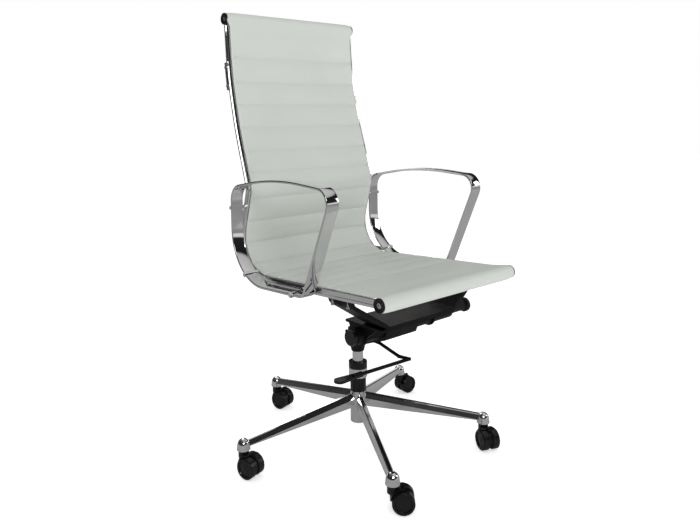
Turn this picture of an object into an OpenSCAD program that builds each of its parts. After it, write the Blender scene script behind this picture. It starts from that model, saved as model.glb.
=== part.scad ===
// High-back swivel office chair: a padded sling between two side rails, closed-loop
// armrests, a torsion tilt mechanism, a gas lift and a five-legged base on casters.
// The origin lies on the floor under the swivel axis, the sitter faces -Y and +Z is up.

/* [Base] */
// Radius of the circle through the caster stems
base_radius = 320; // [260:5:380]
// Direction of the first leg, anticlockwise from +X
base_phase = 25.5; // [0:0.5:71.5]
// Height of the hub's lower end
hub_low = 53; // [44:1:60]
// Height of the hub's upper end
hub_high = 134; // [120:1:160]
// Outer radius of the hub
hub_r = 21; // [20:0.5:30]
// Width of a leg
leg_w = 20; // [16:1:30]
// Depth of a leg at the hub
leg_root_h = 33; // [28:1:44]
// Depth of a leg at its socket
leg_tip_h = 14; // [12:1:20]

/* [Casters] */
// Radius of a wheel
wheel_r = 25; // [22:0.5:30]
// Width of one wheel
wheel_w = 19; // [12:1:24]
// Distance from the stem's axis to the axle
caster_trail = 22; // [14:1:24]
// Radius of the caster stem
stem_r = 5.5; // [4:0.5:6]
// Radius of the axle
axle_r = 3; // [2:0.5:4]

/* [Lift] */
// Radius of the gas cylinder
piston_r = 14; // [12:0.5:14.5]
// Radius of the column's wide upper part
column_r = 24; // [20:0.5:28]
// Travel of the lift
lift_travel = 100; // [60:5:120]

/* [Mechanism] */
// Height of the piston's top end with the lift down
piston_top = 288; // [280:1:310]
// Height of the tilt axis with the lift down
tilt_z = 338; // [330:1:350]
// Distance of the tilt axis in front of the swivel axis
tilt_y = 140; // [120:1:160]
// Radius of the torsion tube
torsion_r = 20; // [16:0.5:22]
// Half the width of the mechanism housing
housing_half = 54; // [44:1:60]
// Radius of the tension knob's grip
knob_r = 13.5; // [10:0.5:18]
// Length of the tension knob
knob_l = 62; // [40:1:70]
// Radius of the height lever's rod
lever_r = 4; // [3:0.5:5]
// Reach of the height lever to the sitter's right
lever_reach = 250; // [200:5:270]

/* [Seat frame] */
// Height of the seat's front roll above the floor
seat_h = 464; // [455:1:500]
// Height of the backrest's top roll above the floor
back_h = 1110; // [1000:5:1200]
// Distance of the front roll in front of the swivel axis
seat_front = 315; // [290:1:340]
// Distance between the rails' outer faces
frame_w = 428; // [380:2:500]
// Width of a rail
rail_w = 10; // [8:1:14]
// Depth of a rail
rail_d = 17; // [14:1:20]
// Radius of the curve from the seat to the back
seat_bend_r = 97; // [80:1:110]

/* [Sling] */
// Thickness of the padded sling
sling_t = 7; // [5:0.5:9]
// Outer radius of the sling where it wraps a roll
roll_r = 17.5; // [16:0.5:20]

/* [Armrests] */
// Width of the armrest's flat bar
arm_w = 33; // [24:1:40]
// Thickness of the armrest's flat bar
arm_t = 6; // [4:0.5:8]
// Height of the armrest's top above the floor
arm_h = 690; // [660:1:720]
// Gap between a rail and its armrest
arm_gap = 8; // [6:0.5:10]

/* [Hidden] */
$fn = 64;
// running clearance between a shaft and its hole, and the gap between soft and hard pieces
run = 0.05;
soft = 0.3;
legs = 5;
leg_angles = [for (i = [0:legs - 1]) base_phase + i * 360 / legs];
// each caster's trailing direction, as it rolled to a stop
caster_angles = [-5, -75, -75, -42, -113];

// base
socket_r = 15;
socket_z = wheel_r * 2 + 20;
socket_low = socket_z - 11;
socket_skirt_r = 16.5;
leg_ridge_w = 11;
leg_shoulder = 13;
leg_top_root = hub_high - 6;
leg_top_tip = socket_z + 10;
bore_taper_r = 17;
column_low = hub_low + 3;

// caster, with its axle at the wheel radius
web_t = 6;
wheel_gap = 1;
fender_gap = 1.2;
fender_t = 2.5;
fender_half = 15;
stem_low = 2 * wheel_r - 4;
neck_high = socket_low - 1.2;
neck_r = 12.5;
stem_high = socket_z + 8;
caster_half = web_t / 2 + wheel_gap + wheel_w;
axle_inset = 3;
hub_wall = 1.5;

// column and lift
wide_low = hub_high + 37;
ring_low = wide_low + 23;
ring_high = ring_low + 16;
sleeve_t = 1.4;
tube_bore = piston_r + run + sleeve_t + run;
gas_low = hub_low + 18;
rod_r = 4;
taper_h = 60;
rod_high = piston_top - taper_h - 5;

// mechanism
boss_low = piston_top - 49;
boss_high = piston_top + 10;
boss_r = 25;
boss_tip_r = 16.5;
cheek_t = 4;
plate_t = 6;
plate_low = tilt_z + torsion_r + 5;
plate_high = plate_low + plate_t;
plate_front = -tilt_y - 82;
plate_rear = -tilt_y + 42;
tube_left = -135;
tube_right = 190;
cheek_inset = 22;
cheek_x = -tube_left - cheek_inset;
plate_half = cheek_x + cheek_t + 6;
tension_rod_r = 7;
knob_x = tube_right + 14;
lever_x = -lever_r - boss_r - 6;
lever_z = piston_top + 8;
lever_exit = [lever_x, -tilt_y + 20, lever_z];
lever_knee = [lever_x - 8, -tilt_y - 54, lever_z - 11];
lever_bend = [lever_x - 2, -tilt_y - 82, lever_z - 11];
lever_skew = 3;
lever_end = -lever_reach - lever_bend.x;
paddle_l = 72;
paddle_w = 26;
paddle_t = 5;
valve_r = 4;

// rails: corners of the centre line as [y, z, corner radius]
rail_x = frame_w / 2 - rail_w / 2;
inner_x = frame_w / 2 - rail_w;
seat_slope = 0.056;
bend_y = 246;
lumbar = [175, seat_h + 199];
bend = [bend_y, seat_h - seat_slope * (bend_y + seat_front)];
blades = [226, back_h - 290];
shoulder = [258, back_h - 150];
roll_top = [268, back_h];
roll_front = [-seat_front, seat_h];
rail_corners = [
  [roll_top.x, roll_top.y, 0], [shoulder.x, shoulder.y, 800], [blades.x, blades.y, 1050],
  [lumbar.x, lumbar.y, 55], [bend.x, bend.y, seat_bend_r], [roll_front.x, roll_front.y, 0]];
// the sling lies on the sitter's side of the rails
sling_at = rail_d / 2 + soft + sling_t / 2;
sling_half = frame_w / 2 - 4;
groove_w = 5;
groove_d = 1.5;
eye_r = 14;
tube_r = 14;
spigot_r = 9;
cap_r = 15.5;
cap_t = 6;
cap_proud = 1.5;

// armrest loop: corners of the bar's centre line
arm_x = frame_w / 2 + arm_gap;
arm_rear = 191;
arm_bend_r = 128;
arm_front_low = -106;
arm_drop = 7;
arm_corners = [
  [arm_rear, seat_z(arm_rear) - arm_drop, arm_bend_r], [arm_rear, arm_h - 19, 42], [0, arm_h + 14, 900],
  [-214, arm_h - 2, 34], [arm_front_low, seat_z(arm_front_low) - arm_drop, 22]];
clip_t = 2.5;
clip_l = 8;
screw_r = 3;
screw_head_r = 3.7;
screw_head_t = 2;
// each clip as [y, z, direction of the bar], and the rail point that its screw holds
clip_high_z = 618;
clip_mid_angle = 57;
clip_low_y = -62;
arm_bend_centre = round_centre(arm_corners[4], arm_corners[0], arm_corners[1]);
rail_bend_centre = round_centre(rail_corners[3], rail_corners[4], rail_corners[5]);
clips = [
  [arm_rear, clip_high_z, 90],
  [arm_bend_centre.x + arm_bend_r * cos(clip_mid_angle),
   arm_bend_centre.y - arm_bend_r * sin(clip_mid_angle), 90 - clip_mid_angle],
  [clip_low_y, seat_z(clip_low_y) - arm_drop, -atan(seat_slope)]];
clip_screws = [
  [lumbar.x + (bend.x - lumbar.x) * (lumbar.y - clip_high_z) / (lumbar.y - bend.y), clip_high_z],
  [rail_bend_centre.x + seat_bend_r * cos(clip_mid_angle),
   rail_bend_centre.y - seat_bend_r * sin(clip_mid_angle)],
  [clip_low_y, seat_z(clip_low_y)]];

// spreaders
spread_t = 9;
spread_front = -232;
spread_rear = -150;
spread_flare = 22;
spread_fork = 16;
fork_r = 24;
spread_low = plate_high;
spread_flat = 85;
brace_z = back_h - 150;
brace_h = 74;
brace_waist = 40;
brace_t = 5;
brace_bow = 20;
brace_lean = 8.4;
brace_y = shoulder.x + 1.9;
brace_bolt_z = [-brace_h / 2 + 12, brace_h / 2 - 12];
spreader_bolt_y = [spread_front + 22, spread_rear - 8];
foot_t = 12;
bolt_bite = 6;
bolt_r = 3;
bolt_head_r = 5;
bolt_head_t = 3;

// ---- outlines ----

function unit(v) = v / norm(v);

// height of the seat part of the rails' centre line at a given y
function seat_z(y) = seat_h - seat_slope * (y + seat_front);

// height of the rails' underside at a given y
function rail_under(y) = seat_z(y) - rail_d / 2;

// points of the arc that rounds the corner at b between a and c
function corner_arc(a, b, c, r, steps) =
  let (u = unit(a - b), v = unit(c - b), half = acos(u * v) / 2,
       centre = b + unit(u + v) * r / sin(half),
       p = b + u * r / tan(half) - centre, q = b + v * r / tan(half) - centre,
       a0 = atan2(p.y, p.x), turn = atan2(p.x * q.y - p.y * q.x, p * q))
  [for (i = [0:steps]) centre + r * [cos(a0 + turn * i / steps), sin(a0 + turn * i / steps)]];

function xy(p) = [p.x, p.y];

// centre of the arc that rounds the corner b, whose radius is b.z
function round_centre(a, b, c) =
  let (u = unit(xy(a) - xy(b)), v = unit(xy(c) - xy(b)))
  xy(b) + unit(u + v) * b.z / sin(acos(u * v) / 2);

function open_path(c, steps) = [
  xy(c[0]),
  for (i = [1:len(c) - 2]) each corner_arc(xy(c[i - 1]), xy(c[i]), xy(c[i + 1]), c[i].z, steps),
  xy(c[len(c) - 1])];

function closed_path(c, steps) = [
  for (i = [0:len(c) - 1])
    each corner_arc(xy(c[(i + len(c) - 1) % len(c)]), xy(c[i]), xy(c[(i + 1) % len(c)]),
                    c[i].z, steps)];

// unit normal at point i of a path, to the right of the way it runs
function normal_at(p, i, closed) =
  let (n = len(p), a = closed ? p[(i + n - 1) % n] : p[max(i - 1, 0)],
       b = closed ? p[(i + 1) % n] : p[min(i + 1, n - 1)], d = unit(b - a))
  [d.y, -d.x];

function shifted(p, by, closed) = [for (i = [0:len(p) - 1]) p[i] + by * normal_at(p, i, closed)];

function reversed(p) = [for (i = [len(p) - 1:-1:0]) p[i]];

function strip(p, from, to) = concat(shifted(p, from, false), reversed(shifted(p, to, false)));

rail_path = open_path(rail_corners, 10);
arm_path = closed_path(arm_corners, 10);

// ---- placing ----

// extrudes an outline drawn in the YZ plane along X
module across(x0, x1) {
  translate([x0, 0, 0]) rotate([90, 0, 90]) linear_extrude(x1 - x0) children();
}

module rod_x(x0, x1, r, at = [0, 0]) {
  translate([x0, at.x, at.y]) rotate([0, 90, 0]) cylinder(h = x1 - x0, r = r);
}

module rod_y(y0, y1, r, at = [0, 0]) {
  translate([at.x, y1, at.y]) rotate([90, 0, 0]) cylinder(h = y1 - y0, r = r);
}

module rod_z(z0, z1, r) {
  translate([0, 0, z0]) cylinder(h = z1 - z0, r = r);
}

module ring_z(z0, z1, r, hole) {
  difference() {
    rod_z(z0, z1, r);
    rod_z(z0 - 1, z1 + 1, hole);
  }
}

module both_sides() {
  children();
  mirror([1, 0, 0]) children();
}

// ---- base ----

module leg_side() {
  polygon([[hub_r - 4, leg_top_root - leg_root_h], [hub_r - 4, leg_top_root],
           [base_radius, leg_top_tip], [base_radius, leg_top_tip - leg_tip_h]]);
}

module leg_section() {
  polygon([[-leg_w / 2, -leg_root_h - 20], [-leg_w / 2, -leg_shoulder],
           [-leg_ridge_w / 2, -2], [-leg_ridge_w / 2 + 2, 0], [leg_ridge_w / 2 - 2, 0],
           [leg_ridge_w / 2, -2], [leg_w / 2, -leg_shoulder], [leg_w / 2, -leg_root_h - 20]]);
}

module leg() {
  run_l = base_radius - hub_r + 4;
  drop = atan2(leg_top_root - leg_top_tip, run_l);
  intersection() {
    translate([0, leg_w, 0]) rotate([90, 0, 0]) linear_extrude(2 * leg_w) leg_side();
    translate([hub_r - 4, 0, leg_top_root]) rotate([0, drop, 0])
      translate([-20, 0, 0]) rotate([90, 0, 90]) linear_extrude(run_l + 60) leg_section();
  }
}

module socket() {
  difference() {
    translate([0, 0, socket_z]) sphere(r = socket_r);
    rod_z(socket_low - socket_r, socket_low + 1, socket_r);
  }
  rotate_extrude() polygon([[0, socket_low], [socket_skirt_r, socket_low],
    [socket_r, socket_z], [0, socket_z]]);
}

module at_leg(i) {
  rotate([0, 0, leg_angles[i]]) children();
}

module star_base() {
  color("silver") difference() {
    union() {
      rod_z(hub_low, hub_high, hub_r);
      for (i = [0:legs - 1]) at_leg(i) {
        leg();
        translate([base_radius, 0, 0]) socket();
      }
    }
    rod_z(hub_low - 1, hub_high + 1, bore_taper_r + run);
    for (i = [0:legs - 1]) at_leg(i)
      translate([base_radius, 0, 0]) rod_z(socket_low - 1, stem_high + 0.5, stem_r + run);
  }
}

module column_tube() {
  color("silver") difference() {
    union() {
      rod_z(column_low, wide_low, bore_taper_r);
      rod_z(wide_low, ring_low, column_r);
    }
    rod_z(column_low + 4, ring_low + 1, tube_bore);
    rod_z(column_low - 1, column_low + 5, rod_r + run);
  }
}

module guide_sleeve() {
  color("black") difference() {
    union() {
      rod_z(gas_low + 12, ring_low, tube_bore - run);
      rod_z(ring_low, ring_high, column_r);
    }
    rod_z(gas_low, ring_high + 1, piston_r + run);
  }
}

module column_collar() {
  color("black") ring_z(hub_high, wide_low, bore_taper_r + 3.5, bore_taper_r + run);
}

module piston_rod() {
  color("gray") rod_z(hub_low - 1, rod_high, rod_r);
}

module thrust_bearing() {
  color("dimgray") ring_z(column_low + 4, gas_low, tube_bore - 1, rod_r + run);
}

module rod_clip() {
  color("dimgray") ring_z(hub_low - 1, column_low, rod_r + 5, rod_r + run);
}

// ---- casters, drawn with the stem's axis at the origin and the axle at +X ----

module caster(i) {
  at_leg(i) translate([base_radius, 0, 0]) rotate([0, 0, caster_angles[i] - leg_angles[i]])
    children();
}

module at_axle() {
  translate([caster_trail, 0, wheel_r]) rotate([90, 0, 0]) children();
}

module fender_outline() {
  outer = wheel_r + fender_gap + fender_t;
  inner = wheel_r + fender_gap;
  sweep = [for (a = [84:8:172]) a];
  polygon([for (a = sweep) outer * [cos(a), sin(a)],
           for (a = reversed(sweep)) inner * [cos(a), sin(a)]]);
}

module caster_hood(i) {
  color("black") caster(i) difference() {
    union() {
      at_axle() translate([0, 0, -web_t / 2]) cylinder(h = web_t, r = wheel_r - 5);
      at_axle() translate([0, 0, -fender_half]) linear_extrude(2 * fender_half) fender_outline();
      at_axle() translate([0, 0, -web_t / 2]) linear_extrude(web_t)
        polygon([[-wheel_r - 3, -2], [-wheel_r + 8, -10], [8, 18], [10, wheel_r + 3],
                 [-wheel_r + 2, wheel_r - 4]]);
      difference() {
        rod_z(2 * wheel_r - 10, neck_high, neck_r);
        at_axle() translate([0, 0, -wheel_r]) cylinder(h = 2 * wheel_r, r = wheel_r + fender_gap + 0.5);
      }
      translate([-6, -web_t / 2, wheel_r + 4]) cube([12, web_t, wheel_r]);
    }
    rod_z(stem_low, neck_high + 1, stem_r + run);
    at_axle() translate([0, 0, -wheel_r]) cylinder(h = 2 * wheel_r, r = axle_r + run);
  }
}

module caster_stem(i) {
  color("gray") caster(i) rod_z(stem_low, stem_high, stem_r);
}

module caster_axle(i) {
  color("gray") caster(i) at_axle()
    translate([0, 0, axle_inset - caster_half])
      cylinder(h = 2 * (caster_half - axle_inset), r = axle_r);
}

// side is -1 or 1 along the axle
module wheel(i, side) {
  tread = 2.5;
  color("black") caster(i) at_axle() along_axle(side) translate([0, 0, web_t / 2 + wheel_gap])
    difference() {
      rotate_extrude() polygon([
        [0, 0], [wheel_r - tread, 0], [wheel_r, tread], [wheel_r, wheel_w - tread],
        [wheel_r - tread, wheel_w], [wheel_r - 6, wheel_w], [wheel_r - 8, wheel_w - axle_inset],
        [0, wheel_w - 1]]);
      translate([0, 0, -1]) cylinder(h = wheel_w - hub_wall, r = axle_r + run);
    }
}

module along_axle(side) {
  if (side > 0) children();
  else mirror([0, 0, 1]) children();
}

// ---- lift ----

module gas_cylinder() {
  color("silver") difference() {
    union() {
      rod_z(gas_low, piston_top - taper_h, piston_r);
      translate([0, 0, piston_top - taper_h]) cylinder(h = taper_h, r1 = piston_r, r2 = piston_r - 1);
    }
    rod_z(gas_low - 1, piston_top - taper_h, rod_r + run);
    rod_z(piston_top - 12, piston_top + 1, valve_r + run);
  }
}

module valve_pin() {
  color("gray") rod_z(piston_top - 8, lever_z - lever_r - run, valve_r);
}

// ---- mechanism ----

tilt_at = [-tilt_y, tilt_z];

module housing_side() {
  polygon([[-18, boss_low + 22], [-18, boss_high], [-62, boss_high + 18],
           [-tilt_y + 18, tilt_z + torsion_r + 1], [-tilt_y - 12, tilt_z + torsion_r + 2],
           [-tilt_y - torsion_r - 7, tilt_z], [-tilt_y - 18, tilt_z - torsion_r - 3],
           [-tilt_y + 26, tilt_z - torsion_r - 19]]);
}

module housing_plan() {
  polygon([[-boss_r + 3, 8], [-housing_half, -46], [-housing_half, -tilt_y - 60],
           [housing_half, -tilt_y - 60], [housing_half, -46], [boss_r - 3, 8]]);
}

function taper_at(z) = piston_r + (piston_top - taper_h - z) / taper_h;

// the boss's hole, which grips the gas cylinder's tapered end
module taper_socket() {
  rotate_extrude() polygon([[0, boss_low - 1], [taper_at(boss_low - 1) + run, boss_low - 1],
    [taper_at(piston_top) + run, piston_top], [taper_at(piston_top) + run, boss_high + 1],
    [0, boss_high + 1]]);
}

module mech_housing() {
  color([0.1, 0.1, 0.1]) difference() {
    union() {
      intersection() {
        across(-housing_half, housing_half) housing_side();
        translate([0, 0, boss_low]) linear_extrude(200) housing_plan();
      }
      rotate_extrude() polygon([[0, boss_low], [boss_tip_r, boss_low],
        [boss_r, boss_low + 34], [boss_r, boss_high], [0, boss_high]]);
    }
    taper_socket();
    rod_x(-housing_half - 1, housing_half + 1, torsion_r + run, tilt_at);
    // room for the lever's finger over the valve pin, and for its shaft beside the boss
    translate([lever_x - 7, -lever_r - 4, piston_top + 1])
      cube([boss_r - lever_x, 2 * lever_r + 8, boss_high - piston_top + 10]);
    rod_y(lever_exit.y - 20, 1, lever_r + run, [lever_x, lever_z]);
  }
}

module torsion_tube() {
  color([0.12, 0.12, 0.12]) difference() {
    rod_x(tube_left, tube_right, torsion_r, tilt_at);
    rod_x(tube_left - 1, tube_right - 8, torsion_r - 4, tilt_at);
    rod_x(tube_right - 9, tube_right + 1, tension_rod_r + run, tilt_at);
  }
}

module torsion_sleeve() {
  color("dimgray") difference() {
    rod_x(-housing_half, housing_half, torsion_r - 4.2, tilt_at);
    rod_x(-housing_half - 1, housing_half + 1, tension_rod_r + 0.2, tilt_at);
  }
}

module tension_rod() {
  color("gray") rod_x(-housing_half - 20, knob_x + 8, tension_rod_r, tilt_at);
}

module tube_cap() {
  color("black") {
    rod_x(tube_left - 12, tube_left, torsion_r - 2, tilt_at);
    rod_x(tube_left, tube_left + 14, torsion_r - 4.1, tilt_at);
  }
}

module tension_knob() {
  flange_l = 13;
  color("black") difference() {
    union() {
      rod_x(knob_x, knob_x + knob_l - flange_l, knob_r, tilt_at);
      rod_x(knob_x + knob_l - flange_l, knob_x + knob_l, knob_r + 5, tilt_at);
    }
    rod_x(knob_x - 1, knob_x + 8 + run, tension_rod_r + run, tilt_at);
  }
}

module bar(a, b, r) {
  d = b - a;
  translate(a) rotate([0, acos(d.z / norm(d)), atan2(d.y, d.x)]) cylinder(h = norm(d), r = r);
}

module lever_grip() {
  translate(lever_bend) rotate([0, 0, -lever_skew]) children();
}

module height_lever() {
  knuckle_r = lever_r + 0.5;
  color("black") {
    rod_y(lever_exit.y, lever_r, lever_r, [lever_x, lever_z]);
    rod_x(lever_x, valve_r, lever_r - 0.5, [0, lever_z]);
    for (p = [lever_exit, lever_knee, lever_bend]) translate(p) sphere(r = knuckle_r);
    bar(lever_exit, lever_knee, lever_r);
    bar(lever_knee, lever_bend, lever_r);
    lever_grip() rod_x(lever_end + paddle_l - 20, 0, lever_r);
  }
}

module paddle_plan() {
  nose = lever_end + paddle_w / 2;
  translate([nose, 0]) circle(r = paddle_w / 2);
  polygon([[nose, -paddle_w / 2], [nose, paddle_w / 2],
           [lever_end + paddle_l, lever_r + 3], [lever_end + paddle_l, -lever_r - 3]]);
}

module lever_paddle() {
  color("black") lever_grip() difference() {
    union() {
      translate([0, 0, -paddle_t / 2]) linear_extrude(paddle_t) paddle_plan();
      rod_x(lever_end + paddle_l - 24, lever_end + paddle_l, lever_r + 2);
    }
    rod_x(lever_end + paddle_l - 20, lever_end + paddle_l + 1, lever_r + run);
  }
}

// ---- seat carriage and spreaders ----

plate_bolt_at = [for (x = [-1, 1], y = [spread_front + 26, spread_rear - 14])
                 [x * (housing_half - 14), y]];

module seat_plate() {
  color([0.1, 0.1, 0.1]) difference() {
    union() {
      translate([-plate_half, plate_front, plate_low])
        cube([2 * plate_half, plate_rear - plate_front, plate_t]);
      both_sides() across(cheek_x, cheek_x + cheek_t) {
        translate(tilt_at) circle(r = torsion_r + 5);
        polygon([[-tilt_y - torsion_r - 5, tilt_z], [-tilt_y - 62, plate_low + 1],
                 [plate_rear - 2, plate_low + 1], [-tilt_y + torsion_r + 5, tilt_z]]);
      }
    }
    rod_x(-plate_half, plate_half, torsion_r + run, tilt_at);
    for (p = plate_bolt_at) translate([p.x, p.y, 0]) rod_z(plate_low - 1, plate_high + 1, bolt_r + run);
  }
}

module plate_bolts() {
  color("gray") for (p = plate_bolt_at) translate([p.x, p.y, 0]) {
    rod_z(plate_low - 2.5, plate_low, bolt_r + 2);
    rod_z(plate_low, spread_low + bolt_bite, bolt_r);
  }
}

// underside of the rails where the spreader meets them
module below_rails() {
  angle = atan(seat_slope);
  translate([-frame_w, -seat_front, seat_h - (rail_d / 2 + run) / cos(angle)]) rotate([-angle, 0, 0])
    translate([0, -100, 0]) cube([2 * frame_w, 700, 300]);
}

module spreader_front_view() {
  mid = spread_low + spread_t / 2;
  right = [[spread_flat + 22, mid, 24], [rail_x - 2, seat_h - 25, 16], [rail_x, seat_h + 20, 0]];
  left = [for (p = reversed(right)) [-p.x, p.y, p.z]];
  polygon(strip(open_path(concat(left, right), 6), -spread_t / 2, spread_t / 2));
}

// the arms sweep back towards the rails, and each ends in two feet
module spreader_plan() {
  reach = frame_w / 2;
  half = [for (i = [0:12]) let (t = i / 12) [spread_flat + (reach - spread_flat) * t, spread_flare * t * t]];
  difference() {
    polygon(concat([for (p = reversed(half)) [-p.x, spread_front + p.y / 2]],
                   [for (p = half) [p.x, spread_front + p.y / 2]],
                   [for (p = reversed(half)) [p.x, spread_rear + p.y / 4]],
                   [for (p = half) [-p.x, spread_rear + p.y / 4]]));
    both_sides() translate([reach + spread_fork, (spreader_bolt_y[0] + spreader_bolt_y[1]) / 2])
      circle(r = fork_r);
  }
}

module seat_spreader() {
  color("silver") difference() {
    intersection() {
      translate([0, spread_rear + spread_flare, 0]) rotate([90, 0, 0])
        linear_extrude(spread_rear - spread_front + 3 * spread_flare) spreader_front_view();
      translate([0, 0, spread_low - 20]) linear_extrude(200) spreader_plan();
    }
    below_rails();
    for (p = plate_bolt_at) translate([p.x, p.y, 0])
      rod_z(spread_low - 1, spread_low + bolt_bite + 0.5, bolt_r + run);
    both_sides() for (y = spreader_bolt_y) translate([rail_x, y, 0]) {
      rod_z(spread_low, seat_h, bolt_r + run);
      rod_z(spread_low, rail_under(y) - foot_t, bolt_head_r + 1);
    }
  }
}

module spreader_bolts() {
  color("gray") {
    both_sides() for (y = spreader_bolt_y) translate([rail_x, y, 0]) {
      rod_z(rail_under(y) - foot_t - bolt_head_t, rail_under(y) - foot_t, bolt_head_r);
      rod_z(rail_under(y) - foot_t, seat_z(y) + 2, bolt_r);
    }
    both_sides() brace_frame() for (z = brace_bolt_z) {
      rod_y(-6, brace_t, bolt_r, [rail_x, z]);
      rod_y(brace_t, brace_t + bolt_head_t, bolt_head_r, [rail_x, z]);
    }
  }
}

// back spreader: its own frame stands on the rails' rear faces, tilted with them
module brace_frame() {
  translate([0, brace_y, brace_z]) rotate([-brace_lean, 0, 0])
    translate([0, rail_d / 2 + run, 0]) children();
}

module brace_plan() {
  half = inner_x - 4;
  radius = (half * half + brace_bow * brace_bow) / (2 * brace_bow);
  arc = [for (i = [-12:12]) let (x = half * i / 12)
    [x, brace_t / 2 + sqrt(radius * radius - x * x) - (radius - brace_bow)]];
  end = [frame_w / 2, brace_t / 2];
  path = concat([[-end.x, end.y]], arc, [end]);
  polygon(strip(path, -brace_t / 2, brace_t / 2));
}

module brace_front() {
  half = frame_w / 2;
  rise = (brace_h - brace_waist) / 2;
  polygon([[-half, -brace_h / 2], [-half, brace_h / 2], [-half + 26, brace_h / 2],
           for (i = [-8:8]) let (x = (half - 26) * i / 8)
             [x, brace_waist / 2 + rise * pow(abs(i) / 8, 2)],
           [half - 26, brace_h / 2], [half, brace_h / 2], [half, -brace_h / 2],
           for (i = [8:-1:-8]) let (x = (half - 26) * i / 8)
             [x, -brace_waist / 2 - rise * pow(abs(i) / 8, 2)]]);
}

module back_spreader() {
  color("silver") brace_frame() difference() {
    intersection() {
      translate([0, 0, -brace_h]) linear_extrude(2 * brace_h) brace_plan();
      translate([0, 100, 0]) rotate([90, 0, 0]) linear_extrude(200) brace_front();
    }
    both_sides() for (z = brace_bolt_z) rod_y(-6, brace_t + 10, bolt_r + run, [rail_x, z]);
  }
}

// ---- rails, rolls and sling ----

module rail(side) {
  out = frame_w / 2;
  color("silver") on_side(side) difference() {
    union() {
      across(inner_x, out) polygon(strip(rail_path, -rail_d / 2, rail_d / 2));
      for (c = [roll_top, roll_front]) rod_x(inner_x, out, eye_r, c);
    }
    across(out - groove_d, out + 1) polygon(strip(rail_path, -groove_w / 2, groove_w / 2));
    for (c = [roll_top, roll_front]) rod_x(inner_x - 1, out + 1, spigot_r + run, c);
    for (y = spreader_bolt_y) translate([rail_x, y, 0]) rod_z(seat_h - 60, seat_z(y) + 2.5, bolt_r + run);
    brace_frame() for (z = brace_bolt_z) rod_y(-6.5, 10, bolt_r + run, [rail_x, z]);
    for (p = clip_screws) rod_x(inner_x + 2, out + 1, screw_r + run, p);
  }
}

module on_side(side) {
  if (side > 0) children();
  else mirror([1, 0, 0]) children();
}

module roll(c) {
  color("gray") difference() {
    rod_x(-inner_x, inner_x, tube_r, c);
    rod_x(-inner_x - 1, inner_x + 1, spigot_r + run, c);
  }
}

module roll_caps() {
  out = frame_w / 2;
  color([0.1, 0.1, 0.1]) both_sides() for (c = [roll_top, roll_front]) {
    rod_x(out + soft, out + cap_t, cap_r, c);
    rod_x(out - rail_w - 24, out + soft, spigot_r, c);
  }
}

// the sling's strip, cut short of the rolls, and a hem around each roll
module sling() {
  hem_half = frame_w / 2 + cap_t - cap_proud;
  path = shifted(rail_path, sling_at, false);
  color([0.78, 0.8, 0.77]) difference() {
    union() {
      across(-sling_half, sling_half) polygon(strip(path, -sling_t / 2, sling_t / 2));
      for (c = [roll_top, roll_front]) rod_x(-hem_half, hem_half, roll_r, c);
    }
    for (c = [roll_top, roll_front]) {
      rod_x(-hem_half - 1, hem_half + 1, eye_r + soft, c);
      both_sides() rod_x(frame_w / 2, hem_half + 1, cap_r + soft, c);
    }
    both_sides() across(inner_x - soft, hem_half + 1)
      polygon(strip(rail_path, -rail_d / 2 - soft, rail_d / 2 + soft));
  }
}

// ---- armrests ----

// the armrest's flat bar, or with room to spare the slot that it lies in
module arm_bar(room) {
  difference() {
    across(arm_x - room, arm_x + arm_w + room) polygon(shifted(arm_path, arm_t / 2 + room, true));
    across(arm_x - 1, arm_x + arm_w + 1) polygon(shifted(arm_path, -arm_t / 2 - room, true));
  }
}

module arm(side) {
  color("silver") on_side(side) arm_bar(0);
}

module clip_frame(k) {
  translate([0, clips[k].x, clips[k].y]) rotate([clips[k].z, 0, 0]) children();
}

// lug between the rail and the armrest, from the clip to the screw in the rail
module clip_lug(k) {
  p = xy(clips[k]);
  q = clip_screws[k];
  lug_r = clip_l / 2 + 0.6;
  side = (lug_r - 0.3) * unit([p.y - q.y, q.x - p.x]);
  across(frame_w / 2 + run, arm_x - run) {
    translate(q) circle(r = lug_r);
    polygon([p + side, q + side, q - side, p - side]);
  }
}

module arm_clips() {
  h = arm_t / 2 + clip_t;
  color("silver") both_sides() for (k = [0:2]) difference() {
    union() {
      clip_frame(k) translate([arm_x - clip_t, -clip_l / 2, -h])
        cube([arm_w + 2 * clip_t, clip_l, 2 * h]);
      clip_lug(k);
    }
    arm_bar(run);
    rod_x(frame_w / 2 - 1, arm_x, screw_r + run, clip_screws[k]);
    rod_x(arm_x - screw_head_t - run, arm_x, screw_head_r + run, clip_screws[k]);
  }
}

module arm_screws() {
  color("gray") both_sides() for (p = clip_screws) {
    rod_x(inner_x + 2, arm_x - screw_head_t, screw_r, p);
    rod_x(arm_x - screw_head_t, arm_x - run, screw_head_r, p);
  }
}

// ---- drawing ----

star_base();
column_tube();
guide_sleeve();
column_collar();
piston_rod();
thrust_bearing();
rod_clip();
for (i = [1:legs]) {
  caster_hood(i - 1);
  caster_stem(i - 1);
  caster_axle(i - 1);
  wheel(i - 1, 1);
  wheel(i - 1, -1);
}
gas_cylinder();
valve_pin();
mech_housing();
torsion_tube();
torsion_sleeve();
tension_rod();
tube_cap();
tension_knob();
height_lever();
lever_paddle();
seat_plate();
plate_bolts();
seat_spreader();
spreader_bolts();
back_spreader();
rail(1);  // rail_left
rail(-1);  // rail_right
roll(roll_top);  // top_roll
roll(roll_front);  // front_roll
roll_caps();
sling();
arm(1);  // arm_left
arm(-1);  // arm_right
arm_clips();
arm_screws();
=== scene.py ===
"""Looks for a high-back swivel office chair: cover, trim, finishes, stage and camera."""

import math

import bmesh
import bpy
from mathutils import Matrix, Vector


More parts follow.
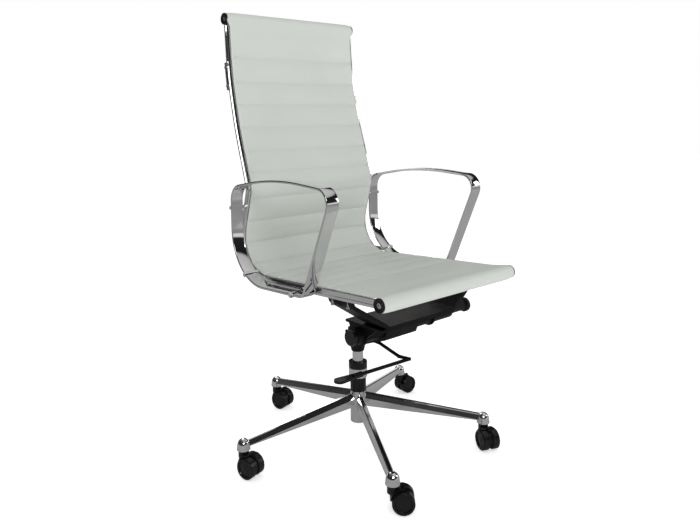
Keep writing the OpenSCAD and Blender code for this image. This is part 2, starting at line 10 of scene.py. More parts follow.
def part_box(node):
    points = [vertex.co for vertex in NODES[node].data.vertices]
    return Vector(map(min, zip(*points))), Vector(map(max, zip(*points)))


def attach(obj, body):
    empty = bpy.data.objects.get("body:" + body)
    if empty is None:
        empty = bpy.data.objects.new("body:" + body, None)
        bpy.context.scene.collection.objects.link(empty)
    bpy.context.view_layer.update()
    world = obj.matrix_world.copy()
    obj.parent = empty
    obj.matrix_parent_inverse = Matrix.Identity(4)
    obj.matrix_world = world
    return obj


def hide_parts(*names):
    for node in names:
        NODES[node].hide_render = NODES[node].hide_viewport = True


bl_info = {
    "name": "Swivel office chair",
    "version": (1, 0, 0),
    "blender": (4, 5, 0),
    "location": "View3D > Sidebar > Chair",
    "description": "Builds the padded cover, the trim and the finishes of a swivel office chair",
    "category": "Add Mesh",
}

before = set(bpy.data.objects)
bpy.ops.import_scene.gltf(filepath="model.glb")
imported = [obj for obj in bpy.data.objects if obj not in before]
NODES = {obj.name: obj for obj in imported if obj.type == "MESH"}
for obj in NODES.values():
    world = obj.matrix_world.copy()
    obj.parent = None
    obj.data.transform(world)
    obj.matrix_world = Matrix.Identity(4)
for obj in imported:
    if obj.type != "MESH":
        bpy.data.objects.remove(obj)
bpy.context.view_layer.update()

# ---- sizes shared with the frame, in metres ----

SEAT_SLOPE = 0.056
SEAT_FRONT_Y, SEAT_FRONT_Z = -0.315, 0.464


def seat_height(y):
    """Height of the rails' centre line along the seat."""
    return SEAT_FRONT_Z - SEAT_SLOPE * (y - SEAT_FRONT_Y)


# corners of the side rails' centre line as (y, z, radius), from the top roll to the front one
RAIL_CORNERS = [
    (0.268, 1.110, 0.0), (0.258, 0.960, 0.8), (0.226, 0.820, 1.05),
    (0.175, 0.663, 0.055), (0.246, 0.43258, 0.097),
    (SEAT_FRONT_Y, SEAT_FRONT_Z, 0.0),
]
# from the rails' centre line to their front face
RAIL_FACE = 0.0085
# the cover's gap over the rails
COVER_GAP = 0.0004
# radius inside the cover where it wraps a roll
ROLL_HOLE = 0.0143

# corners of an armrest loop as (y, z, radius), starting behind the sitter's hip
ARM_REAR, ARM_FOOT = 0.191, -0.106
ARM_DROP = 0.007
ARM_HALF = 0.003
ARM_CORNERS = [
    (ARM_REAR, seat_height(ARM_REAR) - ARM_DROP, 0.128), (ARM_REAR, 0.671, 0.042),
    (0.0, 0.704, 0.9), (-0.214, 0.688, 0.034),
    (ARM_FOOT, seat_height(ARM_FOOT) - ARM_DROP, 0.022),
]

# heights of the seams across the back, and how far back the first one on the seat lies
BACK_SEAMS = (1.008, 0.941, 0.880, 0.819, 0.758, 0.702, 0.642, 0.581, 0.518)
FRONT_SEAM_Y = -0.150


# ---- outlines ----

def smooth(value, low, high):
    """Goes softly from 0 at low to 1 at high."""
    t = min(1.0, max(0.0, (value - low) / (high - low)))
    return t * t * (3 - 2 * t)


def corner_arc(a, b, c, radius, step):
    """Points of the arc that rounds the corner b between a and c."""
    u, v = (a - b).normalized(), (c - b).normalized()
    half = u.angle(v) / 2
    centre = b + (u + v).normalized() * radius / math.sin(half)
    p = b + u * radius / math.tan(half) - centre
    q = b + v * radius / math.tan(half) - centre
    turn = math.atan2(p.x * q.y - p.y * q.x, p.dot(q))
    count = max(2, math.ceil(abs(turn) * radius / step))
    return [centre + Matrix.Rotation(turn * i / count, 2) @ p for i in range(count + 1)]


def rounded(corners, closed, step=0.002):
    """The path through the corners, each rounded to its radius."""
    points = [Vector(c[:2]) for c in corners]
    path = []
    for i, corner in enumerate(corners):
        if corner[2] == 0:
            path.append(points[i])
            continue
        after = points[(i + 1) % len(points)]
        path += corner_arc(points[i - 1], points[i], after, corner[2], step)
    return path + [path[0]] if closed else path


class Line:
    """A path that can be read by the distance along it."""

    def __init__(self, points):
        self.points = points
        self.at = [0.0]
        for a, b in zip(points, points[1:]):
            self.at.append(self.at[-1] + (b - a).length)
        self.length = self.at[-1]

    def point(self, s):
        """The point at a distance along the path."""
        s = min(max(s, 0.0), self.length)
        low, high = 0, len(self.at) - 1
        while high - low > 1:
            mid = (low + high) // 2
            low, high = (mid, high) if self.at[mid] <= s else (low, mid)
        t = (s - self.at[low]) / max(self.at[high] - self.at[low], 1e-9)
        return self.points[low].lerp(self.points[high], t)

    def normal(self, s, reach=0.006):
        """Unit normal to the right of the way the path runs, evened over a short stretch."""
        along = (self.point(s + reach) - self.point(s - reach)).normalized()
        return Vector((along.y, -along.x))

    def find(self, axis, level):
        """Distance at which the path first comes down to a level on one axis."""
        for s, a, b in zip(self.at, self.points, self.points[1:]):
            if a[axis] > level >= b[axis]:
                return s + (b - a).length * (a[axis] - level) / (a[axis] - b[axis])
        raise ValueError("the path never comes down to %s" % level)


RAIL = Line(rounded(RAIL_CORNERS, closed=False))


# ---- mesh helpers ----

def finish_mesh(bm, name, material, angle=None):
    """Turns a bmesh into a linked object at the origin, with its normals outward."""
    bmesh.ops.remove_doubles(bm, verts=bm.verts, dist=1e-6)
    bmesh.ops.recalc_face_normals(bm, faces=bm.faces)
    mesh = bpy.data.meshes.new(name)
    bm.to_mesh(mesh)
    bm.free()
    for face in mesh.polygons:
        face.use_smooth = True
    if angle is not None:
        mesh.set_sharp_from_angle(angle=angle)
    obj = bpy.data.objects.new(name, mesh)
    bpy.context.scene.collection.objects.link(obj)
    if material:
        mesh.materials.append(material)
    return obj


def add_modifier(obj, kind, **values):
    """Adds a modifier and sets its values."""
    modifier = obj.modifiers.new(kind.title(), kind)
    for key, value in values.items():
        setattr(modifier, key, value)
    return modifier


def apply_modifiers(obj):
    """Bakes the object's modifiers into its mesh."""
    graph = bpy.context.evaluated_depsgraph_get()
    mesh = bpy.data.meshes.new_from_object(obj.evaluated_get(graph))
    obj.modifiers.clear()
    obj.data = mesh


def turned(bm, profile, centre, axis, steps=48):
    """Spins a profile of (distance along, radius) points about an axis through centre."""
    axis = Vector(axis).normalized()
    side = axis.orthogonal().normalized()
    verts = [bm.verts.new(Vector(centre) + axis * a + side * r) for a, r in profile]
    edges = [bm.edges.new(pair) for pair in zip(verts, verts[1:])]
    bmesh.ops.spin(bm, geom=verts + edges, cent=centre, axis=axis, dvec=(0, 0, 0),
                   angle=2 * math.pi, steps=steps, use_merge=True, use_duplicate=False)
    bmesh.ops.remove_doubles(bm, verts=bm.verts, dist=1e-6)


# ---- materials ----

def new_material(name):
    """A material, its node tree and its shader."""
    material = bpy.data.materials.new(name)
    material.use_nodes = True
    tree = material.node_tree
    return material, tree, tree.nodes["Principled BSDF"]


def link(tree, source, target):
    """Joins two sockets."""
    tree.links.new(source, target)


def group_node(tree, group, **values):
    """Places a node group with its own values; a _ in a name stands for a space."""
    node = tree.nodes.new("ShaderNodeGroup")
    node.node_tree = group
    for key, value in values.items():
        node.inputs[key.replace("_", " ")].default_value = value
    return node


def new_group(name, inputs, outputs):
    """A shader node group with the named inputs and outputs, and its two end nodes."""
    tree = bpy.data.node_groups.new(name, "ShaderNodeTree")
    for label, kind, default in inputs:
        socket = tree.interface.new_socket(label, in_out="INPUT", socket_type=kind)
        socket.default_value = default
    for label, kind in outputs:
        tree.interface.new_socket(label, in_out="OUTPUT", socket_type=kind)
    return tree, tree.nodes.new("NodeGroupInput"), tree.nodes.new("NodeGroupOutput")


def scaled_noise(tree, entry, detail, socket="Scale"):
    """Noise over object coordinates at the scale that the group's input gives."""
    coords = tree.nodes.new("ShaderNodeTexCoord")
    node = tree.nodes.new("ShaderNodeTexNoise")
    node.inputs["Detail"].default_value = detail
    link(tree, coords.outputs["Object"], node.inputs["Vector"])
    link(tree, entry.outputs[socket], node.inputs["Scale"])
    return node


def span(tree, value, low, high):
    """Maps a 0 to 1 value to the range between two sockets."""
    node = tree.nodes.new("ShaderNodeMapRange")
    link(tree, value, node.inputs["Value"])
    link(tree, low, node.inputs["To Min"])
    link(tree, high, node.inputs["To Max"])
    return node.outputs["Result"]


def mix_colour(tree, factor, a, b):
    """Mixes two colours, each a socket or a plain value."""
    node = tree.nodes.new("ShaderNodeMix")
    node.data_type = "RGBA"
    link(tree, factor, node.inputs["Factor"])
    # the colour sockets of a mix node come after those of its other data types
    for source, target in ((a, 6), (b, 7)):
        if isinstance(source, bpy.types.NodeSocket):
            link(tree, source, node.inputs[target])
        else:
            node.inputs[target].default_value = source
    return node.outputs[2]


def bump(tree, height, strength, distance):
    """A normal bumped by a height."""
    node = tree.nodes.new("ShaderNodeBump")
    node.inputs["Strength"].default_value = strength
    node.inputs["Distance"].default_value = distance
    link(tree, height, node.inputs["Height"])
    return node.outputs["Normal"]


def build_patina():
    """Smudges: a slow change of roughness and tone over a hard finish."""
    tree, entry, leave = new_group(
        "patina",
        [("Scale", "NodeSocketFloat", 14.0), ("Smooth", "NodeSocketFloat", 0.04),
         ("Rough", "NodeSocketFloat", 0.12), ("Tone", "NodeSocketColor", (0.8, 0.8, 0.8, 1)),
         ("Dull", "NodeSocketColor", (0.7, 0.7, 0.7, 1))],
        [("Color", "NodeSocketColor"), ("Roughness", "NodeSocketFloat"),
         ("Mask", "NodeSocketFloat")])
    cloud = scaled_noise(tree, entry, 6.0)
    ramp = tree.nodes.new("ShaderNodeValToRGB")
    ramp.color_ramp.elements[0].position = 0.42
    ramp.color_ramp.elements[1].position = 0.72
    link(tree, cloud.outputs["Fac"], ramp.inputs["Fac"])
    mask = ramp.outputs["Color"]
    link(tree, span(tree, mask, entry.outputs["Smooth"], entry.outputs["Rough"]),
         leave.inputs["Roughness"])
    link(tree, mix_colour(tree, mask, entry.outputs["Tone"], entry.outputs["Dull"]),
         leave.inputs["Color"])
    link(tree, mask, leave.inputs["Mask"])
    return tree


def build_pebble():
    """Fine pebbled grain: cells broken up by noise, as a height."""
    tree, entry, leave = new_group(
        "pebble", [("Scale", "NodeSocketFloat", 900.0), ("Noise Scale", "NodeSocketFloat", 250.0)],
        [("Height", "NodeSocketFloat"), ("Crease", "NodeSocketFloat")])
    coords = tree.nodes.new("ShaderNodeTexCoord")
    cells = tree.nodes.new("ShaderNodeTexVoronoi")
    cells.feature = "SMOOTH_F1"
    link(tree, coords.outputs["Object"], cells.inputs["Vector"])
    link(tree, entry.outputs["Scale"], cells.inputs["Scale"])
    cloud = scaled_noise(tree, entry, 3.0, "Noise Scale")
    total = tree.nodes.new("ShaderNodeMath")
    total.operation = "MULTIPLY_ADD"
    total.inputs[1].default_value = 0.6
    link(tree, cells.outputs["Distance"], total.inputs[0])
    link(tree, cloud.outputs["Fac"], total.inputs[2])
    link(tree, total.outputs[0], leave.inputs["Height"])
    link(tree, cells.outputs["Distance"], leave.inputs["Crease"])
    return tree


GROUPS = {}
MATERIALS = {}


def cover_material(colour, shade):
    """Coated fabric with a fine pebbled grain, slightly darker where it is handled."""
    material, tree, shader = new_material("cover_leatherette")
    patina = group_node(tree, GROUPS["patina"], Scale=5.0, Smooth=0.42, Rough=0.56,
                        Tone=(*colour, 1), Dull=(*shade, 1))
    pebble = group_node(tree, GROUPS["pebble"], Scale=620.0, Noise_Scale=160.0)
    link(tree, patina.outputs["Color"], shader.inputs["Base Color"])
    link(tree, patina.outputs["Roughness"], shader.inputs["Roughness"])
    link(tree, bump(tree, pebble.outputs["Height"], 0.22, 0.0004), shader.inputs["Normal"])
    shader.inputs["Specular IOR Level"].default_value = 0.38
    shader.inputs["Sheen Weight"].default_value = 0.06
    shader.inputs["Sheen Roughness"].default_value = 0.5
    return material


def metal_material(name, tone, dull, smooth_value, rough, scale=14.0, streak=None):
    """Polished or brushed metal with smudges, and lathe or brush streaks where given."""
    material, tree, shader = new_material(name)
    patina = group_node(tree, GROUPS["patina"], Scale=scale, Smooth=smooth_value, Rough=rough,
                        Tone=(*tone, 1), Dull=(*dull, 1))
    link(tree, patina.outputs["Color"], shader.inputs["Base Color"])
    link(tree, patina.outputs["Roughness"], shader.inputs["Roughness"])
    shader.inputs["Metallic"].default_value = 1.0
    if streak:
        coords = tree.nodes.new("ShaderNodeTexCoord")
        mapping = tree.nodes.new("ShaderNodeMapping")
        mapping.inputs["Scale"].default_value = streak
        cloud = tree.nodes.new("ShaderNodeTexNoise")
        cloud.inputs["Scale"].default_value = 1.0
        link(tree, coords.outputs["Object"], mapping.inputs["Vector"])
        link(tree, mapping.outputs["Vector"], cloud.inputs["Vector"])
        link(tree, bump(tree, cloud.outputs["Fac"], 0.12, 0.0003), shader.inputs["Normal"])
    return material


def black_material(name, tone, dull, smooth_value, rough, grain, strength, gloss=0.3):
    """Black plastic or powder coat with a fine grain and slight dust."""
    material, tree, shader = new_material(name)
    patina = group_node(tree, GROUPS["patina"], Scale=9.0, Smooth=smooth_value, Rough=rough,
                        Tone=(*tone, 1), Dull=(*dull, 1))
    pebble = group_node(tree, GROUPS["pebble"], Scale=grain, Noise_Scale=grain / 3)
    link(tree, patina.outputs["Color"], shader.inputs["Base Color"])
    link(tree, patina.outputs["Roughness"], shader.inputs["Roughness"])
    link(tree, bump(tree, pebble.outputs["Height"], strength, 0.0003), shader.inputs["Normal"])
    shader.inputs["Specular IOR Level"].default_value = gloss
    return material


# ---- properties ----

class ChairCoverProperties(bpy.types.PropertyGroup):
    half_width: bpy.props.FloatProperty(
        name="Half width", description="Half the width of the cover between the rolls",
        default=0.2095, min=0.15, max=0.25, unit="LENGTH")
    pad: bpy.props.FloatProperty(
        name="Padding", description="Thickness of the cover over the rails",
        default=0.007, min=0.004, max=0.012, unit="LENGTH")
    seam_pitch: bpy.props.FloatProperty(
        name="Seam pitch", description="Distance between the sewn channels on the seat",
        default=0.061, min=0.04, max=0.09, unit="LENGTH")
    seam_depth: bpy.props.FloatProperty(
        name="Seam depth", description="How deep a sewn channel is pulled in",
        default=0.0028, min=0.0, max=0.004, unit="LENGTH")
    puff: bpy.props.FloatProperty(
        name="Puff", description="Most that the padding may swell out",
        default=0.004, min=0.0, max=0.01, unit="LENGTH")
    colour: bpy.props.FloatVectorProperty(
        name="Colour", description="Colour of the cover", subtype="COLOR",
        default=(0.585, 0.615, 0.575), min=0, max=1)
    shade: bpy.props.FloatVectorProperty(
        name="Shade", description="Colour of the cover where it is handled", subtype="COLOR",
        default=(0.565, 0.595, 0.56), min=0, max=1)


class ChairTrimProperties(bpy.types.PropertyGroup):
    edge: bpy.props.FloatProperty(
        name="Armrest edge", description="Rounding of the armrest bar's edges",
        default=0.0014, min=0.0002, max=0.0028, unit="LENGTH")
    chrome: bpy.props.FloatVectorProperty(
        name="Bright metal", description="Colour of the polished metal", subtype="COLOR",
        default=(0.80, 0.79, 0.80), min=0, max=1)
    black: bpy.props.FloatVectorProperty(
        name="Black", description="Colour of the black parts", subtype="COLOR",
        default=(0.0055, 0.005, 0.005), min=0, max=1)


# ---- finishes ----

FINISHES = {
    "base": ("star_base", "column_tube"),
    "chrome": ("back_spreader", "rail_left", "rail_right", "arm_left", "arm_right", "arm_clips"),
    "cover": ("sling",),
    "gas": ("gas_cylinder",),
    # the seat spreader is polished metal in the shade under the seat; its black coat is painted
    # shade and dark reflection
    "paint_and_painted_shade": ("mech_housing", "torsion_tube", "height_lever", "seat_plate", "seat_spreader"),
    "plastic": ("guide_sleeve", "column_collar", "torsion_sleeve", "tube_cap", "tension_knob",
                "lever_paddle", "roll_caps"),
    "steel": ("piston_rod", "thrust_bearing", "rod_clip", "valve_pin", "tension_rod",
              "plate_bolts", "spreader_bolts", "top_roll", "front_roll", "arm_screws"),
}


def finish_of(node):
    """The finish of a node of the frame; the casters' nodes are numbered."""
    for finish, names in FINISHES.items():
        if node in names:
            return finish
    return "steel" if "stem" in node or "axle" in node else "wheel"


class ChairFinishes(bpy.types.Operator):
    """Make the materials and give each part of the frame its own"""

    bl_idname = "chair.finishes"
    bl_label = "Finishes"

    def execute(self, context):
        cover, trim = context.scene.chair_cover, context.scene.chair_trim
        GROUPS["patina"] = build_patina()
        GROUPS["pebble"] = build_pebble()
        chrome = tuple(trim.chrome)
        dull = tuple(c * 0.9 for c in chrome)
        black = tuple(trim.black)
        dusty = tuple(c * 1.5 for c in black)
        MATERIALS.update({
            "cover": cover_material(tuple(cover.colour), tuple(cover.shade)),
            "chrome": metal_material("chrome_plate", chrome, dull, 0.035, 0.09),
            "base": metal_material("polished_casting", chrome, dull, 0.07, 0.15, 9.0),
            "steel": metal_material("turned_steel", (0.55, 0.55, 0.56), (0.45, 0.45, 0.46),
                                    0.18, 0.32, 30.0, (3.0, 3.0, 900.0)),
            "gas": metal_material("ground_tube", chrome, dull, 0.1, 0.18, 12.0,
                                  (4.0, 4.0, 700.0)),
            # the black coat of the painted parts of the frame, and painted shade on the seat
            # spreader
            "paint_and_painted_shade": black_material("powder_coat_and_painted_shade", black, dusty, 0.34, 0.48, 900.0, 0.35, 0.12),
            "plastic": black_material("black_nylon", black, dusty, 0.24, 0.38, 1500.0, 0.15),
            "wheel": black_material("wheel_nylon", black, dusty, 0.2, 0.36, 1300.0, 0.12),
            "thread": black_material("cover_thread", tuple(cover.shade), tuple(cover.shade),
                                     0.6, 0.8, 3000.0, 0.4),
        })
        for name, obj in NODES.items():
            kind = finish_of(name)
            obj.data.materials.clear()
            obj.data.materials.append(MATERIALS[kind])
        return {"FINISHED"}


# ---- cover ----

# the wrap round a roll: outer radius, how far it turns and in how many steps
WRAP_R = 0.0175
WRAP_END = math.radians(232)
WRAP_STEPS = 24
# spacing of the cover's rows, and their distances from a seam beside it
ROW_STEP = 0.0078
SEAM_ROWS = (0.0013, 0.0029, 0.0052, 0.0085)
COLUMNS = 28
# half the width at the rolls, and how thin the sewn side edges are
HEM_HALF = 0.2185
EDGE_DROP, EDGE_REACH = 0.0022, 0.006
# how far a seam pulls the cover in to each side
SEAM_REACH = 0.009
# the cover is held still this near the rolls
HELD_END = 0.05
PUFF_FRAMES = 16


def seam_places(pitch):
    """Distances along the rail line at which the cover is sewn across."""
    places = [RAIL.find(1, z) for z in BACK_SEAMS]
    last = RAIL.find(0, FRONT_SEAM_Y)
    count = round((last - places[-1]) / pitch)
    step = (last - places[-1]) / count
    return places + [places[-1] + step * (i + 1) for i in range(count)]


def row_places(seams):
    """Distances along the rails of the cover's rows, closer together beside a seam."""
    near = [s + side * d for s in seams for d in SEAM_ROWS for side in (-1, 1)]
    places = sorted([0.0, RAIL.length] + seams + near)
    rows = [places[0]]
    for a, b in zip(places, places[1:]):
        count = max(1, round((b - a) / ROW_STEP))
        rows += [a + (b - a) * (i + 1) / count for i in range(count)]
    return rows


def cover_rows(props, seams):
    """Rows of the cover from the hem behind the top roll to the hem under the front one.

    Each is (outer point, outward normal, thickness, half width, distance along the rails),
    the last None on a hem.
    """
    rows = []
    for end, sign in ((0.0, -1), (RAIL.length, 1)):
        centre, out = RAIL.point(end), RAIL.normal(end)
        hem = []
        for i in range(1, WRAP_STEPS + 1):
            turn = sign * WRAP_END * i / WRAP_STEPS
            normal = Matrix.Rotation(turn, 2) @ out
            hem.append((centre + normal * WRAP_R, normal, WRAP_R - ROLL_HOLE, HEM_HALF, None))
        if sign < 0:
            rows += reversed(hem)
            for s in row_places(seams):
                near = min(s, RAIL.length - s)
                under = RAIL_FACE + COVER_GAP
                inner = ROLL_HOLE + (under - ROLL_HOLE) * smooth(near, 0.004, 0.03)
                outer = WRAP_R + (under + props.pad - WRAP_R) * smooth(near, 0, 0.05)
                half = HEM_HALF + (props.half_width - HEM_HALF) * smooth(near, 0.008, 0.022)
                normal = RAIL.normal(s)
                rows.append((RAIL.point(s) + normal * outer, normal, outer - inner, half, s))
        else:
            rows += hem
    return rows


class ChairCover(bpy.types.Operator):
    """Sew the padded cover: a sheet over the rails, puffed between its seams"""

    bl_idname = "chair.cover"
    bl_label = "Cover"

    def execute(self, context):
        props = context.scene.chair_cover
        seams = seam_places(props.seam_pitch)
        rows = cover_rows(props, seams)
        bm = bmesh.new()
        bmesh.ops.create_grid(bm, x_segments=COLUMNS, y_segments=len(rows) - 1, size=1.0)
        bm.verts.ensure_lookup_table()
        pin = bm.verts.layers.deform.verify()
        inner = {}
        for vert in bm.verts:
            row = round((vert.co.y + 1) / 2 * (len(rows) - 1))
            point, normal, thick, half, s = rows[row]
            x = vert.co.x * half
            edge = half - abs(x)
            # the sides close to a thin sewn edge, and each seam is pulled in
            lift = -EDGE_DROP * (1 - smooth(edge, 0.0, EDGE_REACH))
            hold = 1.0 if s is None or edge < 0.004 else 0.0
            if s is not None:
                gap = min(abs(s - q) for q in seams)
                lift -= props.seam_depth * (1 - smooth(gap, 0.0, SEAM_REACH))
                hold = max(hold, 1.0 if gap < SEAM_ROWS[0] * 0.6 else 0.0)
                hold = max(hold, 1 - smooth(min(s, RAIL.length - s), 0.0, HELD_END))
            vert[pin][0] = hold
            front = point + normal * lift
            back = point - normal * thick
            vert.co = (x, front.x, front.y)
            inner[vert] = Vector((x, back.x, back.y))
        rim = [e for e in bm.edges if e.is_boundary]
        copy = bmesh.ops.duplicate(bm, geom=bm.verts[:] + bm.edges[:] + bm.faces[:])
        twin = copy["vert_map"]
        for vert, place in inner.items():
            twin[vert].co = place
            twin[vert][pin][0] = 1.0
        bmesh.ops.reverse_faces(bm, faces=[f for f in copy["geom"]
                                           if isinstance(f, bmesh.types.BMFace)])
        edge_map = copy["edge_map"]
        bmesh.ops.bridge_loops(bm, edges=rim + [edge_map[e] for e in rim])
        cover = finish_mesh(bm, "sling_cover", MATERIALS["cover"])
        cover.vertex_groups.new(name="held")
        self.puff_up(context, cover, props.puff)
        add_modifier(cover, "SUBSURF", levels=1, render_levels=1)
        apply_modifiers(cover)
        for face in cover.data.polygons:
            face.use_smooth = True
        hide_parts("sling")
        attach(cover, "seat")
        return {"FINISHED"}

    def puff_up(self, context, cover, most):
        """Swells the padding between the seams with a short cloth simulation."""
        start = [v.co.copy() for v in cover.data.vertices]
        cloth = add_modifier(cover, "CLOTH")
        settings = cloth.settings
        settings.quality = 6
        settings.mass = 0.3
        settings.tension_stiffness = 12
        settings.compression_stiffness = 12
        settings.shear_stiffness = 6
        settings.bending_stiffness = 0.6
        settings.use_pressure = True
        settings.uniform_pressure_force = 4
        settings.vertex_group_mass = "held"
        settings.effector_weights.gravity = 0
        cloth.collision_settings.use_collision = False
        scene = context.scene
        for i in range(1, PUFF_FRAMES + 1):
            scene.frame_set(i)
        graph = context.evaluated_depsgraph_get()
        swollen = [v.co.copy() for v in cover.evaluated_get(graph).data.vertices]
        cover.modifiers.clear()
        scene.frame_set(1)
        for vert, a, b in zip(cover.data.vertices, start, swollen):
            move = b - a
            move.x = 0
            vert.co = a + (move.normalized() * min(move.length, most) if move.length else move)


class ChairSeams(bpy.types.Operator):
    """Lay the row of stitches along each seam"""

    bl_idname = "chair.seams"
    bl_label = "Stitches"

    def execute(self, context):
        props = context.scene.chair_cover
        bm = bmesh.new()
        pitch, size, side_gap = 0.0042, 0.0009, 0.006
        outer = RAIL_FACE + COVER_GAP + props.pad
        for s in seam_places(props.seam_pitch):
            point, normal = RAIL.point(s), RAIL.normal(s)
            place = point + normal * (outer - props.seam_depth + 0.0001)
            tilt = math.atan2(normal.y, normal.x)
            count = int(2 * (props.half_width - side_gap) / pitch)
            for i in range(count + 1):
                x = (i - count / 2) * pitch
                made = bmesh.ops.create_icosphere(bm, subdivisions=1, radius=size)
                turn = Matrix.Rotation(tilt, 4, "X")
                move = Matrix.Translation((x, place.x, place.y))
                bmesh.ops.transform(bm, verts=made["verts"],
                                    matrix=move @ turn @ Matrix.Diagonal((1.7, 0.45, 0.7, 1)))
        piece = finish_mesh(bm, "seam_stitches", MATERIALS["thread"])
        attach(piece, "seat")
        return {"FINISHED"}


# ---- armrests and trim ----

class ChairArmrests(bpy.types.Operator):
    """Bend the two armrest loops from flat bar with eased edges"""

    bl_idname = "chair.armrests"
    bl_label = "Armrests"

    def execute(self, context):
        edge = context.scene.chair_trim.edge
        for side, name in ((1, "arm_left"), (-1, "arm_right")):
            low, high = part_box(name)
            path = Line(rounded(ARM_CORNERS, closed=True))
            count, reach = 300, 0.002
            bm = bmesh.new()
            rings = []
            for offset in (ARM_HALF, -ARM_HALF):
                verts = []
                for i in range(count):
                    s = path.length * i / count
                    before = path.point((s - reach) % path.length)
                    after = path.point((s + reach) % path.length)
                    along = (after - before).normalized()
                    p = path.point(s) + Vector((along.y, -along.x)) * offset
                    verts.append(bm.verts.new((low.x, p.x, p.y)))
                rings.append([bm.edges.new((verts[i], verts[(i + 1) % count]))
                              for i in range(count)])
            flat = bmesh.ops.bridge_loops(bm, edges=rings[0] + rings[1])["faces"]
            grown = bmesh.ops.extrude_face_region(bm, geom=flat)
            top = [v for v in grown["geom"] if isinstance(v, bmesh.types.BMVert)]
            bmesh.ops.translate(bm, verts=top, vec=(high.x - low.x, 0, 0))
            bmesh.ops.recalc_face_normals(bm, faces=bm.faces)
            sharp = [e for e in bm.edges
                     if len(e.link_faces) == 2 and e.calc_face_angle(0) > math.radians(60)]
            bmesh.ops.bevel(bm, geom=sharp, offset=edge, offset_type="OFFSET", segments=3,
                            profile=0.5, affect="EDGES", material=-1)
            piece = finish_mesh(bm, "armrest_" + name[4:], MATERIALS["chrome"],
                                angle=math.radians(50))
            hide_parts(name)
            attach(piece, "seat")
        return {"FINISHED"}


# from a roll's end face to the outermost point of its cap
CAP_DEPTH = 0.006


class ChairRollCaps(bpy.types.Operator):
    """Turn the four dished end caps of the rolls, each with its socket screw"""

    bl_idname = "chair.roll_caps"
    bl_label = "Roll caps"

    def execute(self, context):
        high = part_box("roll_caps")[1]
        caps, screws = bmesh.new(), bmesh.new()
        for centre in (RAIL.point(0.0), RAIL.point(RAIL.length)):
            for side in (-1, 1):
                at = (side * (high.x - CAP_DEPTH), centre.x, centre.y)
                axis = (side, 0, 0)
                turned(caps, [(-0.004, 0.0), (-0.004, 0.0088), (0.0004, 0.0088),
                              (0.0004, 0.0150), (0.0012, 0.0155), (0.0042, 0.0155),
                              (0.0056, 0.0150), (0.006, 0.0140), (0.0056, 0.0128),
                              (0.0030, 0.0112), (0.0026, 0.0100), (0.0026, 0.0)], at, axis)
                turned(screws, [(0.0020, 0.0), (0.0020, 0.0062), (0.0040, 0.0062),
                                (0.0046, 0.0055), (0.0046, 0.0034), (0.0030, 0.0030),
                                (0.0030, 0.0)], at, axis, 32)
        cap = finish_mesh(caps, "roll_end_caps", MATERIALS["plastic"], angle=math.radians(50))
        screw = finish_mesh(screws, "cap_screws", MATERIALS["steel"], angle=math.radians(40))
        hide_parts("roll_caps")
        for piece, name in ((cap, "black_plastic"), (screw, "plain_steel")):
            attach(piece, "seat")
        return {"FINISHED"}


class ChairKnob(bpy.types.Operator):
    """Turn the tension knob, with its fluted grip and domed end"""

    bl_idname = "chair.knob"
    bl_label = "Tension knob"

    def execute(self, context):
        low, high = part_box("tension_knob")
        y, z = (low.y + high.y) / 2, (low.z + high.z) / 2
        length, grip, end = high.x - low.x, 0.0135, 0.0185
        bm = bmesh.new()
        rings = 9
        profile = [(0.0, 0.0), (0.0, grip - 0.001), (0.001, grip)]
        # shallow rings round the grip
        for i in range(rings):
            a = 0.006 + (length - 0.026) * i / (rings - 1)
            profile += [(a - 0.0012, grip), (a - 0.0005, grip - 0.0007),
                        (a + 0.0005, grip - 0.0007), (a + 0.0012, grip)]
        profile += [(length - 0.0135, grip), (length - 0.0130, end - 0.001),
                    (length - 0.0120, end), (length - 0.0030, end),
                    (length - 0.0012, end - 0.0009), (length, end - 0.0035), (length, 0.0)]
        turned(bm, profile, (low.x, y, z), (1, 0, 0), 56)
        piece = finish_mesh(bm, "knob_grip", MATERIALS["plastic"], angle=math.radians(45))
        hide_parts("tension_knob")
        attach(piece, "knob")
        return {"FINISHED"}


# ---- stage ----

CAMERA_PLACE = (-1.0967, -1.2510, 0.8348)
CAMERA_HEADING = math.radians(-39.75)
CAMERA_DIP = math.radians(2.98)
CAMERA_ROLL = math.radians(-0.90)

